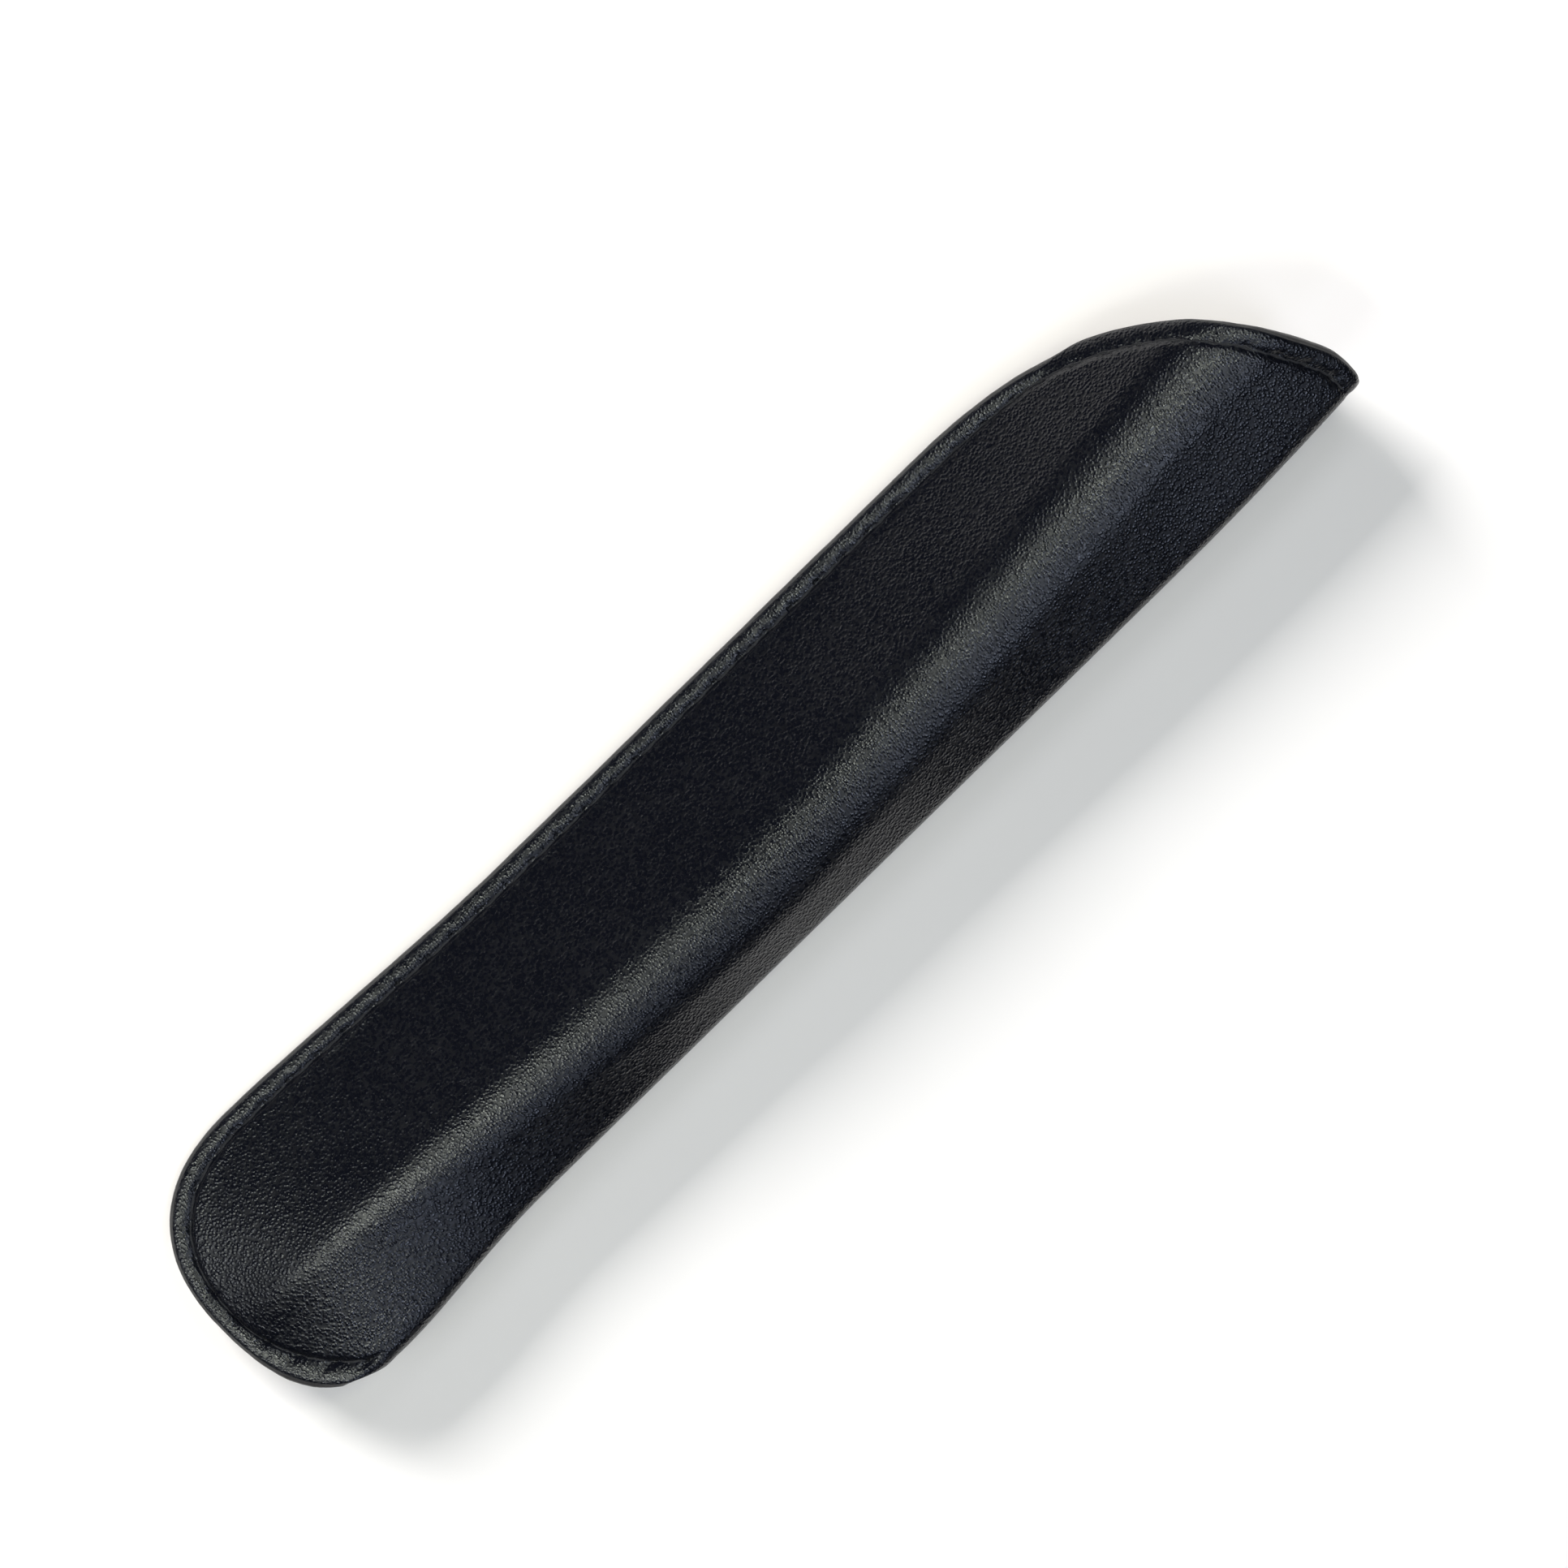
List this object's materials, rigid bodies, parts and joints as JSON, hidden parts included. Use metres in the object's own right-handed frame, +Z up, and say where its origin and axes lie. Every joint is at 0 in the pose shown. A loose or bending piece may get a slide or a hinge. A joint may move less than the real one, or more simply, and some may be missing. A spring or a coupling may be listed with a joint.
{
  "type": "pen sleeve",
  "caption": "Slim fold-over sleeve for one pen in grained artificial leather, sewn along one side and round the bottom, with a slanting curved mouth.",
  "frame": {"origin": "centre of the sleeve's footprint, on the table that it lies on", "axes": "+Y along the sleeve towards the mouth, +Z up off the table, +X from the seam side to the folded side"},
  "size_m": [0.0266, 0.138, 0.0149],
  "materials": {
    "skin": "satin coated artificial leather with a fine pebble grain, blue-black",
    "lining": "matt, tightly woven",
    "stiffener": "pressed fibre sheet",
    "edge_paint": "flexible paint, satin",
    "thread": "bonded polyester, slight sheen"
  },
  "bodies": {
    "root": {"outer_skin": "skin", "lining": "lining", "stiffener_front": "stiffener", "stiffener_back": "stiffener", "side_edge_paint": "edge_paint", "mouth_edge_paint": "edge_paint", "side_seam_needle_thread": "thread", "side_seam_bobbin_thread": "thread", "mouth_needle_thread": "thread", "mouth_bobbin_thread": "thread"}
  },
  "joints": []
}
